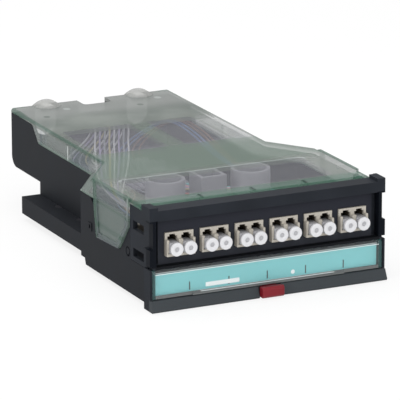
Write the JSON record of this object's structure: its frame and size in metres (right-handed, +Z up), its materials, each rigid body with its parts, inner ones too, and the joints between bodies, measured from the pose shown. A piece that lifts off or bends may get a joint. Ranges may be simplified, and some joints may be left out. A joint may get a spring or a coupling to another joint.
{
  "type": "fibre cassette",
  "caption": "Rack fibre cassette with a clear clip-fit cover, a row of capped duplex ports, a hinged label window and a red release button.",
  "frame": {"origin": "under the middle of the object: centre of its outer box in plan, on its underside", "axes": "+X to the right seen from the front, +Y from the ports to the cable end, +Z up"},
  "size_m": [0.108, 0.1846, 0.0444],
  "materials": {
    "black_plastic": "satin",
    "clear_green": "clear polycarbonate with a light green tint and frosted bands",
    "clear_window": "clear polycarbonate",
    "turquoise_card": "matt card",
    "red_plastic": "semi-gloss",
    "grey_rubber": "matt",
    "beige_plastic": "satin",
    "white_cap": "waxy",
    "connector_plastic": "satin",
    "natural_plastic": "milky, semi-gloss",
    "splice_tube": "clear shrunk tube",
    "fibre_jacket": "soft satin"
  },
  "bodies": {
    "tray": {"base_tray": "black_plastic", "button_spring": "black_plastic", "dust_cap_1": "white_cap", "dust_cap_10": "white_cap", "dust_cap_11": "white_cap", "dust_cap_12": "white_cap", "dust_cap_2": "white_cap", "dust_cap_3": "white_cap", "dust_cap_4": "white_cap", "dust_cap_5": "white_cap", "dust_cap_6": "white_cap", "dust_cap_7": "white_cap", "dust_cap_8": "white_cap", "dust_cap_9": "white_cap", "fibre_coil": "fibre_jacket", "fibre_guide": "natural_plastic", "front_frame": "black_plastic", "lc_adapter_1": "beige_plastic", "lc_adapter_2": "beige_plastic", "lc_adapter_3": "beige_plastic", "lc_adapter_4": "beige_plastic", "lc_adapter_5": "beige_plastic", "lc_adapter_6": "beige_plastic", "pigtail_connector_1": "connector_plastic", "pigtail_connector_10": "connector_plastic", "pigtail_connector_11": "connector_plastic", "pigtail_connector_12": "connector_plastic", "pigtail_connector_2": "connector_plastic", "pigtail_connector_3": "connector_plastic", "pigtail_connector_4": "connector_plastic", "pigtail_connector_5": "connector_plastic", "pigtail_connector_6": "connector_plastic", "pigtail_connector_7": "connector_plastic", "pigtail_connector_8": "connector_plastic", "pigtail_connector_9": "connector_plastic", "splice_holder": "grey_rubber", "splice_sleeve_1": "splice_tube", "splice_sleeve_10": "splice_tube", "splice_sleeve_11": "splice_tube", "splice_sleeve_12": "splice_tube", "splice_sleeve_2": "splice_tube", "splice_sleeve_3": "splice_tube", "splice_sleeve_4": "splice_tube", "splice_sleeve_5": "splice_tube", "splice_sleeve_6": "splice_tube", "splice_sleeve_7": "splice_tube", "splice_sleeve_8": "splice_tube", "splice_sleeve_9": "splice_tube"},
    "cover": {"clear_cover": "clear_green"},
    "label": {"label_window": "clear_window", "label_strip": "turquoise_card"},
    "button": {"release_button": "red_plastic"}
  },
  "joints": [
    {"name": "cover_lift", "type": "slide", "parent": "tray", "child": "cover", "axis": [0, 0, 1], "range_m": [0, 0.05]},
    {"name": "label_hinge", "type": "hinge", "parent": "tray", "child": "label", "pos_m": [0, -0.08605, 0.0162], "axis": [-1, 0, 0], "range_deg": [0, 90]},
    {"name": "button_press", "type": "slide", "parent": "tray", "child": "button", "axis": [0, 1, 0], "range_m": [0, 0.002], "stiffness_N_per_m": 300, "springref_m": -0.003, "deforming": ["button_spring"]}
  ]
}
